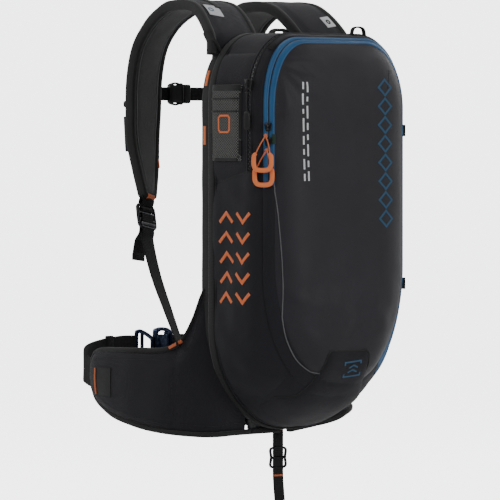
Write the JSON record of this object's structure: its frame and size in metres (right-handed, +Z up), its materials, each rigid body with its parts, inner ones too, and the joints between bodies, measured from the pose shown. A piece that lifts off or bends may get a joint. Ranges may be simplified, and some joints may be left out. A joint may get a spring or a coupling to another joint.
{
  "type": "avalanche airbag backpack",
  "caption": "Avalanche airbag backpack with hinged zip front panel, padded shoulder straps, hip belt with metal buckle, and an inner gas release system.",
  "frame": {"origin": "centre line of the lumbar pad's flat face, where it rests on the wearer's back", "axes": "+Y out of the lumbar pad towards the wearer, +Z up along the pack, +X the wearer's right"},
  "size_m": [0.3292, 0.4099, 0.6487],
  "materials": {
    "pack_fabric": "matt woven nylon",
    "front_fabric": "smooth coated stretch fabric",
    "black_zip": "woven zip tape",
    "blue_zip": "laminated water-resistant zip tape",
    "silver_piping": "reflective piping",
    "white_plastic": "moulded sheet",
    "aluminium": "satin",
    "spacer_mesh": "heathered spacer mesh over foam",
    "airbag_fabric": "coated ripstop",
    "black_plastic": "moulded",
    "orange_plastic": "moulded",
    "cable_sleeve": "extruded sleeve",
    "stretch_mesh": "stretch diamond mesh",
    "webbing": "woven webbing",
    "buckle_metal": "anodised dark blue"
  },
  "bodies": {
    "pack": {"back_wall": "pack_fabric", "side_panel_left_lower": "pack_fabric", "side_panel_left_upper": "pack_fabric", "top_panel": "pack_fabric", "side_panel_right": "pack_fabric", "airbag_zip_tape": "black_zip", "compartment_gusset": "pack_fabric", "bottom_panel": "pack_fabric", "zip_tape_outer": "blue_zip", "front_piping": "silver_piping", "front_panel_lower": "front_fabric", "divider_panel": "pack_fabric", "frame_sheet": "white_plastic", "frame_stay_left": "aluminium", "frame_stay_right": "aluminium", "back_pad_left": "spacer_mesh", "back_pad_right": "spacer_mesh", "lumbar_pad": "spacer_mesh", "folded_airbag": "airbag_fabric", "inflator_housing": "black_plastic", "release_cable_inner": "cable_sleeve", "side_mesh_pocket": "stretch_mesh", "top_loop": "webbing", "gear_loop_upper": "webbing", "gear_loop_lower": "webbing", "lower_webbing_left": "webbing", "lower_webbing_right": "webbing"},
    "front_flap": {"front_panel": "front_fabric", "zip_tape_inner": "blue_zip"},
    "upper_slider": {"zip_slider_upper": "black_plastic"},
    "upper_pull": {"zip_pull_upper": "orange_plastic"},
    "lower_slider": {"zip_slider_lower": "black_plastic"},
    "lower_pull": {"zip_pull_lower": "orange_plastic"},
    "airbag_slider": {"airbag_slider": "black_plastic"},
    "airbag_pull": {"airbag_pull": "black_plastic"},
    "left_strap": {"strap_pad_left": "spacer_mesh", "sternum_webbing_left": "webbing", "sternum_buckle_socket": "black_plastic", "trigger_pouch": "webbing"},
    "left_lock": {"ladder_lock_left": "black_plastic"},
    "right_strap": {"strap_pad_right": "spacer_mesh"},
    "right_lock": {"ladder_lock_right": "black_plastic"},
    "sternum_plug": {"sternum_webbing_right": "webbing", "sternum_buckle_plug": "black_plastic"},
    "trigger": {"trigger_handle": "orange_plastic"},
    "release_pin": {"release_pin": "aluminium"},
    "cartridge": {"gas_cartridge": "aluminium"},
    "left_wing": {"hip_wing_left": "pack_fabric", "hip_webbing_left": "webbing", "hip_buckle_hook": "buckle_metal"},
    "right_wing": {"hip_wing_right": "pack_fabric", "hip_webbing_right": "webbing", "hip_buckle_frame": "buckle_metal"},
    "leg_strap": {"leg_strap": "webbing"},
    "leg_buckle": {"leg_strap_buckle": "aluminium"},
    "haul_loop": {"haul_loop": "webbing"}
  },
  "joints": [
    {"name": "front_panel_open", "type": "hinge", "parent": "pack", "child": "front_flap", "pos_m": [-0.1105, -0.16, 0.267], "axis": [0.6084, 0, -0.7936], "range_deg": [0, 75]},
    {"name": "upper_zip_slide", "type": "slide", "parent": "pack", "child": "upper_slider", "axis": [0, 0, 1], "range_m": [0, 0.03]},
    {"name": "upper_pull_swing", "type": "hinge", "parent": "upper_slider", "child": "upper_pull", "pos_m": [-0.1205, -0.1291, 0.333], "axis": [-0.7584, -0.6518, 0], "range_deg": [-35, 35]},
    {"name": "lower_zip_slide", "type": "slide", "parent": "pack", "child": "lower_slider", "axis": [0, 0, 1], "range_m": [-0.05, 0]},
    {"name": "lower_pull_swing", "type": "hinge", "parent": "lower_slider", "child": "lower_pull", "pos_m": [-0.1158, -0.1251, 0.3145], "axis": [-0.7584, -0.6518, 0], "range_deg": [-35, 35]},
    {"name": "airbag_zip_slide", "type": "slide", "parent": "pack", "child": "airbag_slider", "axis": [0, 0, 1], "range_m": [-0.1, 0]},
    {"name": "airbag_pull_swing", "type": "hinge", "parent": "airbag_slider", "child": "airbag_pull", "pos_m": [-0.1285, -0.0994, 0.3869], "axis": [-0.9832, -0.1825, 0], "range_deg": [0, 35]},
    {"name": "left_strap_swing", "type": "hinge", "parent": "pack", "child": "left_strap", "pos_m": [-0.08, -0.01, 0.433], "axis": [1, 0, 0], "range_deg": [0, 12], "deforming": ["lower_webbing_left"]},
    {"name": "right_strap_swing", "type": "hinge", "parent": "pack", "child": "right_strap", "pos_m": [0.08, -0.01, 0.433], "axis": [1, 0, 0], "range_deg": [0, 12], "deforming": ["lower_webbing_right"]},
    {"name": "left_lock_tilt", "type": "hinge", "parent": "left_strap", "child": "left_lock", "pos_m": [-0.0998, 0.1431, 0.2384], "axis": [0.967, 0.2546, 0], "range_deg": [-12, 20]},
    {"name": "right_lock_tilt", "type": "hinge", "parent": "right_strap", "child": "right_lock", "pos_m": [0.0998, 0.1431, 0.2384], "axis": [0.967, -0.2546, 0], "range_deg": [-12, 20]},
    {"name": "sternum_release", "type": "slide", "parent": "right_strap", "child": "sternum_plug", "axis": [1, 0, 0], "range_m": [0, 0.03]},
    {"name": "trigger_pull", "type": "slide", "parent": "left_strap", "child": "trigger", "axis": [0.1005, 0.201, 0.9744], "range_m": [0, 0.025]},
    {"name": "release_pin_pull", "type": "slide", "parent": "pack", "child": "release_pin", "axis": [0, 0, 1], "range_m": [0, 0.008]},
    {"name": "cartridge_turn", "type": "hinge", "parent": "pack", "child": "cartridge", "pos_m": [-0.0275, -0.045, 0.075], "axis": [0, 0, 1], "continuous": true},
    {"name": "left_wing_flex", "type": "hinge", "parent": "pack", "child": "left_wing", "pos_m": [-0.1, -0.002, 0], "axis": [0, 0, 1], "range_deg": [0, 30]},
    {"name": "right_wing_flex", "type": "hinge", "parent": "pack", "child": "right_wing", "pos_m": [0.1, -0.002, 0], "axis": [0, 0, 1], "range_deg": [-30, 0]},
    {"name": "leg_strap_swing", "type": "hinge", "parent": "pack", "child": "leg_strap", "pos_m": [-0.005, -0.012, -0.0465], "axis": [1, 0, 0], "range_deg": [-50, 50]},
    {"name": "leg_buckle_slide", "type": "slide", "parent": "leg_strap", "child": "leg_buckle", "axis": [0, 0, 1], "range_m": [-0.008, 0.01]},
    {"name": "haul_loop_fold", "type": "hinge", "parent": "pack", "child": "haul_loop", "pos_m": [0, -0.0085, 0.43], "axis": [1, 0, 0], "range_deg": [-10, 0]}
  ],
  "couplings": [
    {"joint": "right_strap_swing", "follows": "left_strap_swing", "ratio": 1},
    {"joint": "right_wing_flex", "follows": "left_wing_flex", "ratio": -1},
    {"joint": "release_pin_pull", "follows": "trigger_pull", "ratio": 0.32}
  ]
}
